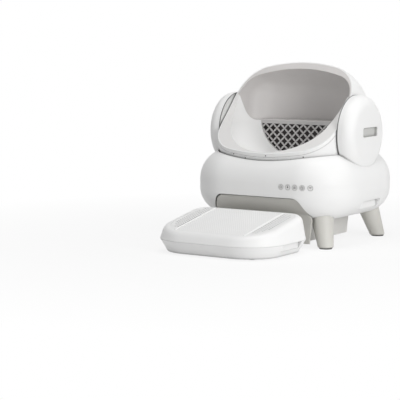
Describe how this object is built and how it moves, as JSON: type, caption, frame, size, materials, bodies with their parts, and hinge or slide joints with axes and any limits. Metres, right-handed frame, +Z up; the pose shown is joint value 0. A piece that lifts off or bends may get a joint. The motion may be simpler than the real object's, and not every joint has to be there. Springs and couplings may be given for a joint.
{
  "type": "self-cleaning litter box",
  "caption": "White automatic litter box with an open-top tilting drum, grey hood and sieve, round side pods, pull-out waste drawer, splayed legs and a separate entry step.",
  "frame": {"origin": "bottom centre of the whole object with its step, at floor level", "axes": "+X to the right seen from the front, the front faces -Y, +Z up"},
  "size_m": [0.636, 0.922, 0.653],
  "materials": {
    "white_shell": "smooth satin white",
    "hood_grey": "smooth warm grey",
    "sieve_grey": "pale grey",
    "dark_plastic": "near black",
    "leg_grey": "warm light grey",
    "drawer_grey": "warm light grey",
    "grip_grey": "light grey",
    "button_grey": "mid grey",
    "rubber": "soft dark grey",
    "steel": "plain steel",
    "bracket_white": "off white",
    "bush_brass": "sintered",
    "gear_plastic": "natural nylon",
    "board_green": "solder mask",
    "rail_plastic": "slippery plastic",
    "step_white": "fine textured white"
  },
  "bodies": {
    "base": {"body_shell": "white_shell", "chassis_plate": "steel", "front_left_leg": "leg_grey", "front_right_leg": "leg_grey", "rear_left_leg": "leg_grey", "rear_right_leg": "leg_grey", "leg_foot_pads": "rubber", "leg_screws": "steel", "main_board": "board_green", "load_cells": "steel", "power_inlet": "dark_plastic", "drive_motor": "steel", "motor_plate": "steel", "position_sensor": "dark_plastic", "control_board": "board_green", "button_switches": "dark_plastic", "left_pod_cover": "white_shell", "right_pod_cover": "white_shell", "left_grip_insert": "grip_grey", "right_grip_insert": "grip_grey", "left_pod_bracket": "bracket_white", "right_pod_bracket": "bracket_white", "left_bearing_bush": "bush_brass", "right_bearing_bush": "bush_brass", "left_drawer_rail": "rail_plastic", "right_drawer_rail": "rail_plastic"},
    "drum": {"drum_shell": "white_shell", "drum_rim_screws": "dark_plastic", "hood_liner": "hood_grey", "litter_bowl": "white_shell", "sieve_grate": "sieve_grey", "clump_tray": "dark_plastic", "drum_gear": "gear_plastic", "left_trunnion": "steel", "right_trunnion": "steel"},
    "pinion": {"drive_pinion": "gear_plastic"},
    "waste_drawer": {"drawer_front": "drawer_grey", "waste_bin": "drawer_grey", "bag_ring": "drawer_grey", "drawer_screws": "steel"},
    "step": {"step_base": "white_shell", "step_feet": "rubber"},
    "step_top": {"step_cover": "white_shell", "step_mat": "step_white", "left_step_grille": "step_white", "right_step_grille": "step_white"},
    "button_1": {"button_1": "button_grey"},
    "button_2": {"button_2": "button_grey"},
    "button_3": {"button_3": "button_grey"},
    "button_4": {"button_4": "button_grey"},
    "button_5": {"button_5": "button_grey"}
  },
  "joints": [
    {"name": "drum_tilt", "type": "hinge", "parent": "base", "child": "drum", "pos_m": [0, 0.175, 0.398], "axis": [1, 0, 0], "range_deg": [-180, 60]},
    {"name": "pinion_spin", "type": "hinge", "parent": "base", "child": "pinion", "pos_m": [0.2645, 0.175, 0.482], "axis": [1, 0, 0], "range_deg": [-370, 1090]},
    {"name": "drawer_slide", "type": "slide", "parent": "base", "child": "waste_drawer", "axis": [0, -1, 0], "range_m": [0, 0.34]},
    {"name": "step_slide", "type": "slide", "parent": "waste_drawer", "child": "step", "axis": [0, -1, 0], "range_m": [0, 0.3]},
    {"name": "step_top_lift", "type": "slide", "parent": "step", "child": "step_top", "axis": [0, 0, 1], "range_m": [0, 0.12]},
    {"name": "button_1_press", "type": "slide", "parent": "base", "child": "button_1", "axis": [0, 1, 0], "range_m": [0, 0.001], "stiffness_N_per_m": 600},
    {"name": "button_2_press", "type": "slide", "parent": "base", "child": "button_2", "axis": [0, 1, 0], "range_m": [0, 0.001], "stiffness_N_per_m": 600},
    {"name": "button_3_press", "type": "slide", "parent": "base", "child": "button_3", "axis": [-0.0926, 0.9957, 0], "range_m": [0, 0.001], "stiffness_N_per_m": 600},
    {"name": "button_4_press", "type": "slide", "parent": "base", "child": "button_4", "axis": [-0.2503, 0.9682, 0], "range_m": [0, 0.001], "stiffness_N_per_m": 600},
    {"name": "button_5_press", "type": "slide", "parent": "base", "child": "button_5", "axis": [-0.408, 0.913, 0], "range_m": [0, 0.001], "stiffness_N_per_m": 600}
  ],
  "couplings": [
    {"joint": "pinion_spin", "follows": "drum_tilt", "ratio": -6}
  ]
}
